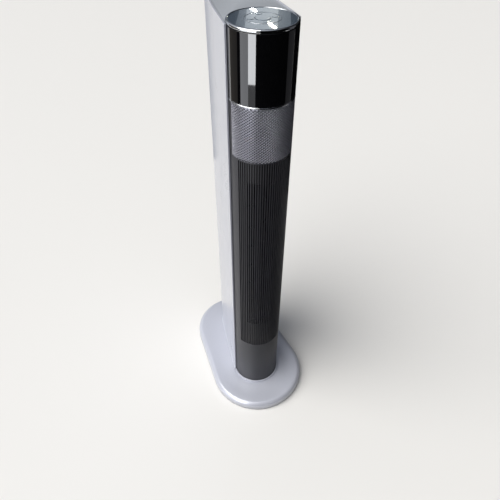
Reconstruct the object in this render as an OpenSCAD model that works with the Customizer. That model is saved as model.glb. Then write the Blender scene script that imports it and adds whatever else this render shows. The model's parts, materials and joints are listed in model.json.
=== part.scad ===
// Tower fan: a drum-fronted column that swings on a flat rounded base.
// Origin: middle of the base's footprint, on the floor. +Z up, the base's front faces -Y.

/* [Overall] */
// Height of the drum's top above the floor
total_h = 743; // [610:1:900]
// Outer diameter of the front drum
drum_d = 90; // [74:1:108]
// How far the column is parked from straight ahead, about the drum's axis
parked_turn = -6.5; // [-30:0.5:30]

/* [Base] */
// Width of the base across its front round
base_front_d = 194; // [160:1:234]
// Width of the base across its rear round
base_rear_d = 174; // [144:1:210]
// Distance between the centres of the base's two rounds
base_spacing = 125; // [104:1:150]
// Height of the base's top face above the floor
base_h = 20; // [18:0.5:24]
// Wall of the base shell
base_wall = 2.5; // [2:0.1:3]
// Radius that rounds the base's upper edge
base_round = 9; // [4:0.5:11]
// Distance from the front round's centre back to the drum's axis
pivot_offset = 5.5; // [0:0.5:15]
// Thickness of the steel ballast plate
ballast_t = 5; // [3:0.5:6]
// Height of the rubber feet
foot_t = 1.5; // [1.2:0.1:2]
// Radius of the rubber feet
foot_r = 9; // [7:0.5:11]
// Thickness of the bottom plate
plate_t = 2; // [1.6:0.1:2.4]

/* [Housing] */
// Wall of the rear housing
housing_wall = 2.5; // [2:0.1:3]
// Gap between the drum and the housing's lips
drum_gap = 0.6; // [0.4:0.1:1]
// How much the housing narrows from the drum to the blower, each side
mid_narrow = 2.5; // [0:0.1:6]
// Distance from the drum's axis to the blower's axis
mid_y = 60; // [50:1:72]
// How much the housing narrows from the drum to its rear round, each side
rear_narrow = 8.3; // [4:0.1:12]
// Distance from the drum's axis to the rear round's centre
rear_y = 130; // [116:1:150]
// How far the housing's rim stays below the drum's top
rim_drop = 2.2; // [1:0.1:4]
// Height of the collar that closes the housing round the drum's foot
collar_h = 3; // [2:0.5:6]
// Height of the gap between the base and the column
swing_gap = 0.6; // [0.4:0.1:1]

/* [Front covers] */
// Wall of the drum's covers
cover_t = 2; // [1.6:0.1:2.4]
// Angle that the covers reach round from the front, each side
cover_angle = 95; // [92:1:100]
// Height of the plain foot below the grille
foot_h = 131; // [110:1:157]
// Height of the diamond panel
diamond_h = 78.5; // [60:0.5:95]
// Height of the gloss display cover
display_h = 88; // [74:0.5:105]
// Height of the chrome bezel at the top
bezel_h = 4.5; // [3.6:0.1:6]
// Height of the thin chrome ring
ring_h = 2; // [1.5:0.1:3]
// Half angle of the ribbed grille
grille_angle = 62; // [52:1:74]
// Half angle of the diamond panel
diamond_angle = 78; // [65:1:88]
// Number of slots across the ribbed grille
grille_slots = 27; // [21:2:31]
// Width of one slot in the ribbed grille
slot_w = 2.1; // [1.6:0.1:2.4]
// Columns of diamonds
diamond_columns = 15; // [9:2:19]
// Rows of diamonds
diamond_rows = 12; // [8:1:14]
// Half angle of the outlet mouth behind the grille
mouth_angle = 43; // [36:1:50]
// Grille left plain below the outlet mouth
mouth_low = 64; // [50:1:76]
// Grille left plain above the outlet mouth
mouth_high = 36; // [28:1:44]

/* [Blower] */
// Gap between the impeller and the scroll where it starts
scroll_gap = 2.5; // [2:0.1:4]
// How much the scroll widens from its start to the housing's side
scroll_growth = 4; // [3:0.1:6]
// Thickness of the duct walls
duct_t = 1.6; // [1.2:0.1:2]
// Number of impeller blades
blade_count = 28; // [20:1:34]
// Chord of one blade
blade_chord = 8; // [6:0.5:10]
// Number of rings along the impeller, the end discs included
ring_count = 8; // [4:1:10]
// Diameter of the motor shaft
shaft_d = 8; // [6:0.5:10]
// Diameter of the fan motor
motor_d = 60; // [50:1:72]
// Height of the fan motor
motor_h = 45; // [38:1:54]

/* [Swing drive] */
// Tooth module of the swing gears
gear_module = 1.25; // [1:0.05:1.5]
// Teeth on the fixed gear
gear_teeth = 48; // [44:1:52]
// Teeth on the pinion
pinion_teeth = 12; // [11:1:14]
// Outer radius of the base's pivot post
post_r = 22; // [19:0.5:23]
// Wall of the pivot post
post_wall = 5; // [4:0.5:6]

/* [Controls] */
// Diameter of the power button
power_d = 19; // [15:0.5:22]
// Diameter of the ring line round the small buttons
ring_line_d = 44; // [36:0.5:52]
// Travel of a button
button_travel = 1; // [0.6:0.1:1.4]
// Gap between a button and its hole
button_gap = 0.3; // [0.2:0.05:0.5]

/* [Hidden] */
$fn = 96;

silver = "#c3c5d0";
dark_grey = "#3a3a3f";
gloss_black = "#101013";
chrome = "#dcdfe4";
steel = "#9a9ca0";
board_green = "#1f6b3f";
rubber_black = "#1b1b1c";
nylon_white = "#e6e4dc";

fit_gap = 0.3;          // gap between parts that are fitted inside one another
bearing_gap = 0.05;     // radial clearance of a turning fit
slide_gap = 0.1;        // height of the oil film under the turning column
screw_r = 1.5;          // radius of a screw's shank
screw_head_r = 2.8;
screw_head_h = 1.2;
boss_r = 4.2;
stud_r = 3.4;           // posts that carry a board or a motor's ears
screw_clearance = 0.2;  // added to a screw's radius where it passes freely
overcut = 1;            // how far a cutter runs past what it cuts
root_depth = 1;         // how far a boss sinks into the wall that carries it
far = 400;              // beyond the part's outline in plan
pilot_r = screw_r;      // the thread is taken at its crest, so a screw just fills its hole
arc_steps = 24;         // points along each round of an outline

intake_angle = 62;      // half angle of the rear intake grille
intake_slots = 25;
intake_span = 112;      // angle from the first slot to the last
intake_border = 8;      // plain band above, below and between the slots
intake_gap = 0.3;

rear_screw_angles = [65, 115];
rear_screw_length = 11;
rear_screw_sink = 1.4;  // from the housing's skin to the seat of a rear screw
rear_boss_length = 11.4;
rear_boss_depth = 12;   // from the plate's edge to the inner end of a boss

panel_t = 3;            // the lid of the housing
panel_drop = 0.6;       // from the housing's rim down to the lid
panel_front = 6;        // the lid and the floors stop this far behind the drum's axis
ledge_t = 2.5;
ledge_w = 3;
ledge_front = 12;

drum_r = drum_d / 2;
cover_in = drum_r - cover_t;
front_r = drum_r + drum_gap + housing_wall;
mid_r = front_r - mid_narrow;
rear_r = front_r - rear_narrow;
lip_y = -1.6;           // the lips end just in front of the drum's axis

base_len = base_front_d / 2 + base_spacing + base_rear_d / 2;
base_front_y = -base_len / 2 + base_front_d / 2;
base_rear_y = base_front_y + base_spacing;
pivot_y = base_front_y + pivot_offset;
base_skirt = 1.2;       // the shell stops this far above the floor
plate_top = foot_t + plate_t;
shell_ceiling = base_h - base_wall;
ballast_inset = 21;     // keeps the ballast inside the screw bosses
ballast_hole_r = 28;
pad_inset = 20;         // from the ballast's edge to a pad
pocket_depth = 8;       // of a pilot hole in a boss
front_boss_angles = [205, 245, 295, 335];
rear_boss_angles = [35, 145];
front_foot_angles = [225, 315];
rear_foot_angles = [55, 125];
boss_inset = 13;        // from the base's edge to a screw boss
feet_inset = 24;

gland_r = 4.5;
gland_flange_r = 6.5;
gland_flange_t = 3;
cord_bore_r = 3.2;

bush_t = 1;
tower_z = base_h + swing_gap;
floor_z = base_h + bush_t + slide_gap;
floor_t = 3;
floor_boss_angle = 50;  // of the two rearmost housing bosses
floor_boss_sink = 0.4;  // how far a boss melts into the housing's wall
floor_boss_h = 18;
floor_top = floor_z + floor_t;
hub_r = post_r + 5;
hub_top = floor_top + 3;
gear_z = hub_top + fit_gap;
gear_t = 4;
gear_pitch_r = gear_module * gear_teeth / 2;
pinion_pitch_r = gear_module * pinion_teeth / 2;
pinion_y = gear_pitch_r + pinion_pitch_r;
pinion_z = gear_z - 1;
pinion_h = gear_t + 2;
pressure_angle = 25;
tooth_backlash = 0.12;  // taken off each flank at the pitch circle
swing_shaft_r = 2.5;
swing_boss_r = 4.5;
swing_boss_t = 1.4;
swing_motor_r = 14;
swing_motor_h = 19;
ear_x = swing_motor_r + 3.5;
ear_z = pinion_z + pinion_h + 2.6;
ear_t = 1;

rim_z = total_h - rim_drop;
disc_t = 3;
disc_top = total_h - 0.5;
disc_r = drum_r - 3.6;
bezel_z = total_h - bezel_h;
display_z = bezel_z - display_h;
ring_z = display_z - ring_h;
diamond_z = ring_z - diamond_h;
grille_z = tower_z + foot_h;
mouth_z = grille_z + mouth_low;
mouth_top = diamond_z - mouth_high;
rail_h = 8;
blower_z = mouth_z - rail_h;
blower_top = mouth_top + rail_h;
blower_plate_t = 4;

impeller_r = mid_r - housing_wall - fit_gap - duct_t - scroll_growth - scroll_gap;
impeller_z = blower_z + 4;
impeller_top = blower_top - 4;
ring_t = 1.5;
blade_t = 1.2;
blade_skew = 28;
blade_edge = 0.8;       // from the impeller's rim to a blade
impeller_hub_h = 22;
impeller_bore = 18;     // how far the motor's shaft reaches into the hub
shaft_r = shaft_d / 2;
hub_out_r = shaft_r + 4;
stub_r = shaft_r - 1;

mouth_x = drum_r * sin(mouth_angle);
liner_out = cover_in - fit_gap;
liner_in = liner_out - cover_t;
duct_front_y = -sqrt(pow(liner_in - fit_gap, 2) - pow(mouth_x + duct_t / 2, 2));
scroll_start = 100;
scroll_end = 215;
tongue_angle = -38;
tongue_gap = scroll_gap + 1.5;
tongue_r = 1.6;
scroll_share = 0.94;    // keeps the widest place of the scroll off the housing
liner_angle = 72;
vane_depth = 26;
vane_setback = 2.4;     // from the covers' inner face to the vanes' front
rail_depth = 14;
vane_x = mouth_x / 3;
vane_t = 1.4;

holder_r = 11;
bearing_r = 7;
mount_h = 5;
motor_top = blower_z - blower_plate_t - mount_h;
motor_z = motor_top - motor_h;
motor_wall = 1.5;
mount_circle = motor_d / 2 - 8;
rotor_r = motor_d / 4;
rotor_gap = 0.5;

board_reach = 14;       // how far the power board runs past the rear round's centre
board_half_w = rear_r - housing_wall - 8;
board_y = mid_y + 22;
board_len = rear_y - board_y + board_reach;
board_z = floor_top + 10;
board_t = 1.6;
board_hole_inset = 4;

tray_h = 27;
tray_r = cover_in - fit_gap;
tray_wall = 1.8;
tray_top = disc_top - disc_t;
tray_z = tray_top - tray_h;
control_board_z = tray_z + 12;
switch_h = 4;
switch_w = 5;
power_switch_w = 6;
stem_r = 1.8;
power_stem_r = 2.4;
key_skirt = 1.5;        // how far a button runs below the control disc
tray_post_at = 31;
switch_top = control_board_z + board_t + switch_h;
button_top = disc_top + 0.3;
stem_bottom = switch_top + button_travel + 0.2;
small_button_at = (power_d / 2 + ring_line_d / 2) / 2;
oval_w = 7.4;
oval_h = 5;

cable_w = 9;
cable_t = 0.8;
cable_x = rear_r - housing_wall - 1.5;
cable_y = board_y + 12;
cable_run = 60;         // along the housing, under the control tray
cable_gap = 0.5;

// ---- outlines and helpers ----

// outline of two rounds joined by their tangents: r1 about the origin, r2 about [0, d]
function two_rounds(r1, r2, d) =
    let (t = asin((r1 - r2) / d))
    concat(
        [for (i = [0 : arc_steps]) let (a = t + (180 - 2 * t) * i / arc_steps)
            [r2 * cos(a), d + r2 * sin(a)]],
        [for (i = [0 : arc_steps]) let (a = 180 - t + (180 + 2 * t) * i / arc_steps)
            [r1 * cos(a), r1 * sin(a)]]);

// outline of the housing, moved inwards by inset: drum round, blower width, rear round
function housing_points(inset) =
    let (r1 = front_r - inset, r2 = mid_r - inset, r3 = rear_r - inset,
        t12 = asin((r1 - r2) / mid_y), t23 = asin((r2 - r3) / (rear_y - mid_y)))
    concat(
        [for (i = [0 : arc_steps]) let (a = t23 + (180 - 2 * t23) * i / arc_steps)
            [r3 * cos(a), rear_y + r3 * sin(a)]],
        [[r2 * cos(180 - t23), mid_y + r2 * sin(t23)], [r2 * cos(180 - t12), mid_y + r2 * sin(t12)]],
        [for (i = [0 : arc_steps]) let (a = 180 - t12 + (180 + 2 * t12) * i / arc_steps)
            [r1 * cos(a), r1 * sin(a)]],
        [[r2 * cos(t12), mid_y + r2 * sin(t12)], [r2 * cos(t23), mid_y + r2 * sin(t23)]]);

function heading(p, i) =
    let (a = p[max(i - 1, 0)], b = p[min(i + 1, len(p) - 1)]) (b - a) / norm(b - a);
function beside(p, i, t) = let (d = heading(p, i)) p[i] + t / 2 * [-d[1], d[0]];
// closed outline of a wall of thickness t along the path p
function wall_points(p, t) = concat(
    [for (i = [0 : len(p) - 1]) beside(p, i, t)],
    [for (i = [len(p) - 1 : -1 : 0]) beside(p, i, -t)]);

function involute(a) = tan(a) * 180 / PI - a;
// half the angle of a tooth at radius r, in degrees
function tooth_half(teeth, r) =
    let (pitch = gear_module * teeth / 2, base = pitch * cos(pressure_angle),
        roll = acos(min(1, base / r)))
    90 / teeth - tooth_backlash / pitch * 180 / PI + involute(pressure_angle) - involute(roll);
// outline of a spur gear with a tooth on +X
function gear_points(teeth) =
    let (pitch = gear_module * teeth / 2, tip = pitch + 0.92 * gear_module,
        root = pitch - 1.2 * gear_module, base = pitch * cos(pressure_angle),
        low = max(root + 0.05, base), steps = 4)
    [for (k = [0 : teeth - 1], i = [0 : 2 * steps + 3])
        let (up = i <= steps + 1, j = up ? i - 1 : 2 * steps + 2 - i,
            r = j < 0 ? root : low + (tip - low) * j / steps,
            a = 360 * k / teeth + (up ? -1 : 1) * tooth_half(teeth, max(r, low)))
        [r * cos(a), r * sin(a)]];

// places the column: its own frame has the drum's axis at the origin
module parked() {
    translate([0, pivot_y, 0]) rotate([0, 0, parked_turn]) children();
}

module prism(points, z0, z1) {
    translate([0, 0, z0]) linear_extrude(height = z1 - z0) polygon(points);
}

module tube(r_out, r_in, z0, z1) {
    difference() {
        translate([0, 0, z0]) cylinder(r = r_out, h = z1 - z0);
        translate([0, 0, z0 - 1]) cylinder(r = r_in, h = z1 - z0 + 2);
    }
}

// everything behind y, between two heights
module behind(y, z0, z1) {
    translate([-far / 2, y, z0]) cube([far, far, z1 - z0]);
}

// everything in front of y
module ahead_of(y, z0, z1) {
    translate([-far / 2, y - far, z0]) cube([far, far, z1 - z0]);
}

// part of a tube, reaching half_angle each side of the direction middle
module arc_shell(r_in, r_out, z0, z1, half_angle, middle = 270) {
    rotate([0, 0, middle - half_angle])
        rotate_extrude(angle = 2 * half_angle)
            translate([r_in, z0]) square([r_out - r_in, z1 - z0]);
}

// screw pointing up from [0, 0, 0] at its head's lower face
module screw(length) {
    cylinder(r = screw_head_r, h = screw_head_h);
    cylinder(r = screw_r, h = length);
}

module base_boss_places() {
    for (a = front_boss_angles)
        translate([(base_front_d / 2 - boss_inset) * cos(a),
            base_front_y + (base_front_d / 2 - boss_inset) * sin(a), 0]) children();
    for (a = rear_boss_angles)
        translate([(base_rear_d / 2 - boss_inset) * cos(a),
            base_rear_y + (base_rear_d / 2 - boss_inset) * sin(a), 0]) children();
}

// pads under the shell's ceiling that hold the ballast down
module ballast_pad_places() {
    for (s = [-1, 1]) translate([s * (base_front_d / 2 - ballast_inset - pad_inset), base_front_y, 0]) children();
    translate([0, base_rear_y, 0]) children();
}

module floor_boss_places() {
    inset = housing_wall + boss_r - floor_boss_sink;
    for (s = [-1, 1]) {
        translate([s * (mid_r - inset), mid_y, 0]) children();
        translate([s * (rear_r - inset) * cos(floor_boss_angle),
            rear_y + (rear_r - inset) * sin(floor_boss_angle), 0]) children();
    }
}

// a radial place on the rear round, with +X pointing outwards
module rear_screw_places() {
    for (z = [blower_z - blower_plate_t / 2, blower_top + blower_plate_t / 2], a = rear_screw_angles)
        translate([0, rear_y, z]) rotate([0, 0, a]) children();
}

module board_hole_places() {
    for (x = [-1, 1], y = [board_hole_inset, board_len - board_hole_inset])
        translate([x * (board_half_w - board_hole_inset), board_y + y, 0]) children();
}

module motor_mount_places() {
    for (a = [90 : 120 : 330])
        translate([mount_circle * cos(a), mid_y + mount_circle * sin(a), 0]) children();
}

module gear_screw_places() {
    for (a = [30 : 120 : 270])
        rotate([0, 0, a]) translate([post_r - post_wall / 2, 0, 0]) children();
}

module small_button_place(a) {
    rotate([0, 0, a]) translate([small_button_at, 0, 0]) rotate([0, 0, -a]) children();
}

module oval(w, h, z0, z1) {
    middle = w - h;
    translate([0, 0, z0]) {
        translate([-middle / 2, -h / 2, 0]) cube([middle, h, z1 - z0]);
        for (s = [-1, 1]) translate([s * middle / 2, 0, 0]) cylinder(r = h / 2, h = z1 - z0);
    }
}

// ---- base, the fixed body ----

module base_rounds(inset, z0, z1) {
    translate([0, base_front_y, 0])
        prism(two_rounds(base_front_d / 2 - inset, base_rear_d / 2 - inset, base_spacing), z0, z1);
}

module base_shell() {
    color(silver) difference() {
        union() {
            difference() {
                hull() {
                    base_rounds(0.8, base_skirt, base_skirt + 0.1);
                    base_rounds(0, base_skirt + 1, base_h - base_round);
                    for (a = [18 : 18 : 90])
                        base_rounds(base_round * (1 - cos(a)),
                            base_h - base_round * (1 - sin(a)) - 0.01, base_h - base_round * (1 - sin(a)));
                }
                base_rounds(base_wall, base_skirt - 1, base_h - base_round);
                base_rounds(base_round, base_skirt - 1, shell_ceiling);
            }
            base_boss_places() translate([0, 0, plate_top]) cylinder(r = boss_r, h = base_h - root_depth - plate_top);
            ballast_pad_places() translate([0, 0, plate_top + ballast_t])
                cylinder(r = boss_r, h = base_h - root_depth - plate_top - ballast_t);
            translate([0, pivot_y, 0]) tube(post_r, post_r - post_wall, shell_ceiling - 4, gear_z);
        }
        translate([0, pivot_y, 0]) cylinder(r = post_r - post_wall, h = base_h + 40);
        translate([0, pivot_y, gear_z - pocket_depth]) gear_screw_places()
            cylinder(r = pilot_r, h = pocket_depth + overcut);
        base_boss_places() translate([0, 0, plate_top - overcut]) cylinder(r = pilot_r, h = pocket_depth + overcut);
        translate([0, base_rear_y + base_rear_d / 2 - 20, base_h / 2])
            rotate([-90, 0, 0]) cylinder(r = gland_r, h = 30);
    }
}

module base_plate() {
    color(rubber_black) difference() {
        base_rounds(base_wall + fit_gap, foot_t, plate_top);
        base_boss_places() translate([0, 0, foot_t - 1]) cylinder(r = screw_r + screw_clearance, h = plate_t + 2);
    }
}

module ballast_plate() {
    color(steel) difference() {
        base_rounds(ballast_inset, plate_top, plate_top + ballast_t);
        translate([0, pivot_y, plate_top - 1]) cylinder(r = ballast_hole_r, h = ballast_t + 2);
    }
}

module rubber_feet() {
    color(rubber_black) {
        for (a = front_foot_angles)
            translate([(base_front_d / 2 - feet_inset) * cos(a),
                base_front_y + (base_front_d / 2 - feet_inset) * sin(a), 0])
                cylinder(r = foot_r, h = foot_t);
        for (a = rear_foot_angles)
            translate([(base_rear_d / 2 - feet_inset) * cos(a),
                base_rear_y + (base_rear_d / 2 - feet_inset) * sin(a), 0])
                cylinder(r = foot_r, h = foot_t);
    }
}

module base_screws() {
    color(steel) base_boss_places()
        translate([0, 0, foot_t - screw_head_h]) screw(screw_head_h + plate_t + 7);
}

module cord_gland() {
    sunk = 0.4;
    flange_at = base_round + fit_gap;
    length = flange_at + gland_flange_t;
    color(rubber_black) translate([0, base_rear_y + base_rear_d / 2, base_h / 2])
        rotate([90, 0, 0]) difference() {
            union() {
                translate([0, 0, sunk]) cylinder(r = gland_r - bearing_gap, h = length - sunk);
                translate([0, 0, flange_at]) cylinder(r = gland_flange_r, h = gland_flange_t);
            }
            cylinder(r = cord_bore_r, h = length + 1);
        }
}

module turntable_bush() {
    color(nylon_white) translate([0, pivot_y, 0])
        tube(drum_r - 8, post_r + fit_gap, base_h, base_h + bush_t);
}

module swing_gear() {
    color(nylon_white) translate([0, pivot_y, 0]) difference() {
        rotate([0, 0, 90 + parked_turn]) prism(gear_points(gear_teeth), gear_z, gear_z + gear_t);
        translate([0, 0, gear_z - 1]) cylinder(r = post_r - post_wall, h = gear_t + 2);
        translate([0, 0, gear_z - 1]) gear_screw_places() cylinder(r = screw_r + screw_clearance, h = gear_t + 2);
    }
}

module gear_screws() {
    color(steel) translate([0, pivot_y, gear_z + gear_t + screw_head_h])
        gear_screw_places() rotate([180, 0, 0]) screw(screw_head_h + gear_t + 6);
}

// ---- column: chassis and housing ----

// the space inside the housing and the drum, less a gap, as used by floors and plates
module inner_slab(front, gap, z0, z1) {
    intersection() {
        prism(housing_points(housing_wall + gap), z0, z1);
        behind(panel_front, z0 - overcut, z1 + overcut);
    }
    translate([0, 0, z0]) cylinder(r = front, h = z1 - z0);
}

module tower_floor() {
    color(dark_grey) parked() difference() {
        union() {
            inner_slab(cover_in - fit_gap, fit_gap, floor_z, floor_top);
            translate([0, 0, floor_z]) cylinder(r = hub_r, h = hub_top - floor_z);
            for (s = [-1, 1]) translate([s * ear_x, pinion_y, floor_z]) cylinder(r = stud_r, h = ear_z - floor_z);
            board_hole_places() translate([0, 0, floor_z]) cylinder(r = stud_r, h = board_z - floor_z);
        }
        translate([0, 0, floor_z - 1]) cylinder(r = post_r + bearing_gap, h = hub_top - floor_z + 2);
        for (s = [-1, 1]) translate([s * ear_x, pinion_y, ear_z - 7]) cylinder(r = pilot_r, h = 8);
        board_hole_places() translate([0, 0, board_z - 7]) cylinder(r = pilot_r, h = 8);
        floor_boss_places() {
            translate([0, 0, floor_z - 1]) cylinder(r = screw_r + screw_clearance, h = floor_t + 2);
            translate([0, 0, floor_z - 1]) cylinder(r = screw_head_r + screw_clearance, h = 2.4);
        }
    }
}

module floor_screws() {
    color(steel) parked() floor_boss_places()
        translate([0, 0, floor_z + 0.2]) screw(floor_t + 10);
}

module rear_opening(gap) {
    translate([0, rear_y, 0])
        arc_shell(rear_r - housing_wall - 2, rear_r + 2, mouth_z - gap, mouth_top + gap,
            intake_angle + gap, 90);
}

module rear_housing() {
    panel_z = rim_z - panel_drop - panel_t;
    color(silver) parked() difference() {
        union() {
            difference() {
                prism(housing_points(0), tower_z, rim_z);
                prism(housing_points(housing_wall), tower_z - 1, rim_z + 1);
                ahead_of(lip_y, tower_z + collar_h, total_h + overcut);
            }
            // ledge under the top panel
            difference() {
                prism(housing_points(housing_wall - 0.5), panel_z - ledge_t, panel_z);
                prism(housing_points(housing_wall + ledge_w), panel_z - ledge_t - overcut, panel_z + overcut);
                translate([0, 0, panel_z - ledge_t - overcut])
                    cylinder(r = drum_r + drum_gap, h = ledge_t + 2 * overcut);
                ahead_of(ledge_front, panel_z - ledge_t - overcut, panel_z + overcut);
            }
            floor_boss_places() translate([0, 0, floor_top + slide_gap]) cylinder(r = boss_r, h = floor_boss_h);
        }
        floor_boss_places() translate([0, 0, floor_top - 1]) cylinder(r = pilot_r, h = 14);
        rear_opening(intake_gap);
        rear_screw_places() {
            rotate([0, 90, 0]) cylinder(r = screw_r + screw_clearance, h = rear_r + 5);
            translate([rear_r - rear_screw_sink, 0, 0]) rotate([0, 90, 0]) cylinder(r = screw_head_r + 0.3, h = 5);
        }
    }
}

module rear_grille() {
    slot_h = (mouth_top - mouth_z - 3 * intake_border) / 2;
    color(silver) parked() translate([0, rear_y, 0]) difference() {
        arc_shell(rear_r - housing_wall, rear_r, mouth_z, mouth_top, intake_angle, 90);
        for (i = [0 : intake_slots - 1], half = [0, 1])
            rotate([0, 0, 90 - intake_span / 2 + intake_span * i / (intake_slots - 1)])
                translate([rear_r - housing_wall - 1, -slot_w / 2, mouth_z + intake_border + half * (slot_h + intake_border)])
                    cube([housing_wall + 2, slot_w, slot_h]);
    }
}

module housing_screws() {
    color(steel) parked() rear_screw_places()
        translate([rear_r - rear_screw_sink + screw_head_h, 0, 0]) rotate([0, -90, 0]) screw(rear_screw_length);
}

module top_panel() {
    color("#a9adb3") parked() difference() {
        prism(housing_points(housing_wall + drum_gap), rim_z - panel_drop - panel_t, rim_z - panel_drop);
        translate([0, 0, rim_z - 10]) cylinder(r = drum_r + drum_gap, h = 20);
        ahead_of(panel_front, rim_z - 10, rim_z + 10);
    }
}

// ---- column: drum covers ----

module front_cover() {
    pitch = 2 * grille_angle / grille_slots;
    color(dark_grey) parked() difference() {
        arc_shell(cover_in, drum_r, tower_z, ring_z - 0.1, cover_angle);
        arc_shell(cover_in - 1, drum_r + 1, diamond_z, ring_z + 1, diamond_angle);
        for (i = [0 : grille_slots - 1])
            rotate([0, 0, 270 - grille_angle + pitch * (i + 0.5)])
                translate([cover_in - 1, -slot_w / 2, grille_z]) cube([cover_t + 2, slot_w, diamond_z - grille_z - 2]);
    }
}

module diamond_panel() {
    side = 5;               // degrees left plain at each side
    border = 4;             // left plain above and below
    step_a = 2 * (diamond_angle - side) / diamond_columns;
    step_z = (diamond_h - 2 * border) / diamond_rows;
    half_w = 0.36 * step_a * PI / 180 * drum_r;
    half_h = 0.7 * step_z;
    color("#77777e") parked() difference() {
        arc_shell(cover_in, drum_r, diamond_z + 0.1, ring_z - 0.1, diamond_angle - 0.3);
        for (row = [0 : diamond_rows - 1], column = [0 : diamond_columns - 1 - row % 2])
            rotate([0, 0, 270 + (column + (row % 2) / 2 - (diamond_columns - 1) / 2) * step_a])
                translate([cover_in - 1, 0, diamond_z + border + (row + 0.5) * step_z])
                    rotate([90, 0, 90]) linear_extrude(height = cover_t + 2)
                        polygon([[half_w, 0], [0, half_h], [-half_w, 0], [0, -half_h]]);
    }
}

module chrome_ring() {
    color(chrome) parked() arc_shell(cover_in, drum_r + 0.2, ring_z, display_z, cover_angle);
}

module display_cover() {
    color(gloss_black) parked() arc_shell(cover_in, drum_r, display_z + 0.1, bezel_z - 0.1, cover_angle);
}

module top_bezel() {
    color(chrome) parked() difference() {
        tube(drum_r, disc_r + 0.2, bezel_z, total_h);
        translate([0, 0, bezel_z - 1]) cylinder(r = tray_r + 0.2, h = tray_top - bezel_z + 1);
    }
}

// ---- column: controls ----

module control_disc() {
    color("#5d6873") parked() difference() {
        translate([0, 0, disc_top - disc_t]) cylinder(r = disc_r, h = disc_t);
        translate([0, 0, disc_top - disc_t - 1]) cylinder(r = power_d / 2 + button_gap, h = disc_t + 2);
        for (a = [0 : 90 : 270])
            small_button_place(a) oval(oval_w + 2 * button_gap, oval_h + 2 * button_gap, disc_top - disc_t - 1, disc_top + 1);
        tube(ring_line_d / 2 + 0.3, ring_line_d / 2 - 0.3, disc_top - 0.4, disc_top + 1);
    }
}

module control_tray() {
    color(rubber_black) parked() {
        tube(tray_r, tray_r - tray_wall, tray_z, tray_top - 0.1);
        translate([0, 0, tray_z]) cylinder(r = tray_r - 0.5, h = 2);
        for (a = [45 : 90 : 315]) rotate([0, 0, a]) translate([tray_post_at, 0, tray_z + 1])
            cylinder(r = 3, h = control_board_z - tray_z - 1);
    }
}

module control_board() {
    color(board_green) parked() {
        translate([0, 0, control_board_z]) cylinder(r = tray_r - tray_wall - 1, h = board_t);
        translate([-power_switch_w / 2, -power_switch_w / 2, control_board_z + 1])
            cube([power_switch_w, power_switch_w, board_t - 1 + switch_h]);
        for (a = [0 : 90 : 270]) small_button_place(a)
            translate([-switch_w / 2, -switch_w / 2, control_board_z + 1]) cube([switch_w, switch_w, board_t - 1 + switch_h]);
    }
}

module button_solid(a) {
    small_button_place(a) {
        oval(oval_w, oval_h, disc_top - disc_t - key_skirt, button_top);
        translate([0, 0, stem_bottom]) cylinder(r = stem_r, h = disc_top - disc_t - stem_bottom);
    }
}

module power_button() {
    color("#6d7780") parked() {
        translate([0, 0, disc_top - disc_t - key_skirt])
            cylinder(r = power_d / 2, h = button_top - disc_top + disc_t + key_skirt);
        translate([0, 0, stem_bottom]) cylinder(r = power_stem_r, h = disc_top - disc_t - stem_bottom);
    }
}

module right_button() { color("#6d7780") parked() button_solid(0); }
module rear_button() { color("#6d7780") parked() button_solid(90); }
module left_button() { color("#6d7780") parked() button_solid(180); }
module front_button() { color("#6d7780") parked() button_solid(270); }

module display_board() {
    half_w = 0.6 * drum_r;
    front_y = -sqrt(pow(cover_in - fit_gap, 2) - pow(half_w, 2));
    z0 = display_z + 6;
    z1 = tray_z - 0.3;
    color(board_green) parked() {
        translate([-half_w, front_y, z0]) cube([2 * half_w, board_t, z1 - z0]);
        translate([-14, front_y - 5, z0 + 10]) cube([28, 5.2, 18]);
        translate([-20, front_y - 3, z0 + 4]) cube([5, 3.2, 5]);
    }
}

module ribbon_cable() {
    low = board_z + board_t;
    high = tray_z - 1;
    color("#b8b8b4") parked() {
        translate([cable_x - cable_t, cable_y, low]) cube([cable_t, cable_w, high - low]);
        translate([board_half_w - 6, cable_y, low]) cube([cable_x - board_half_w + 6, cable_w, cable_t]);
        translate([cable_x - cable_w, cable_y + cable_w - cable_run, high - cable_t]) cube([cable_w, cable_run, cable_t]);
    }
}

// ---- column: power and swing drive ----

module power_board() {
    color(board_green) parked() difference() {
        union() {
            translate([-board_half_w, board_y, board_z]) cube([2 * board_half_w, board_len, board_t]);
            translate([-18, board_y + 14, board_z]) cube([20, 16, board_t + 15]);
            translate([14, board_y + 20, board_z]) cylinder(r = 6, h = board_t + 22);
            translate([-14, board_y + 40, board_z]) cube([30, 10, board_t + 12]);
        }
        board_hole_places() translate([0, 0, board_z - 1]) cylinder(r = screw_r + screw_clearance, h = board_t + 2);
    }
}

module board_screws() {
    color(steel) parked() board_hole_places()
        translate([0, 0, board_z + board_t + screw_head_h]) rotate([180, 0, 0]) screw(screw_head_h + board_t + 5);
}

module swing_motor() {
    color(steel) parked() translate([0, pinion_y, 0]) difference() {
        union() {
            translate([0, 0, ear_z]) cylinder(r = swing_motor_r, h = swing_motor_h);
            translate([0, 0, ear_z - swing_boss_t]) cylinder(r = swing_boss_r, h = 2 * swing_boss_t);
            oval(2 * ear_x + 7, 7, ear_z, ear_z + ear_t);
        }
        translate([0, 0, ear_z - 2]) cylinder(r = swing_shaft_r + bearing_gap, h = 8);
        for (s = [-1, 1]) translate([s * ear_x, 0, ear_z - 1]) cylinder(r = screw_r + screw_clearance, h = 3);
    }
}

module motor_ear_screws() {
    color(steel) parked() for (s = [-1, 1])
        translate([s * ear_x, pinion_y, ear_z + ear_t + screw_head_h]) rotate([180, 0, 0])
            screw(screw_head_h + ear_t + 5);
}

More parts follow.
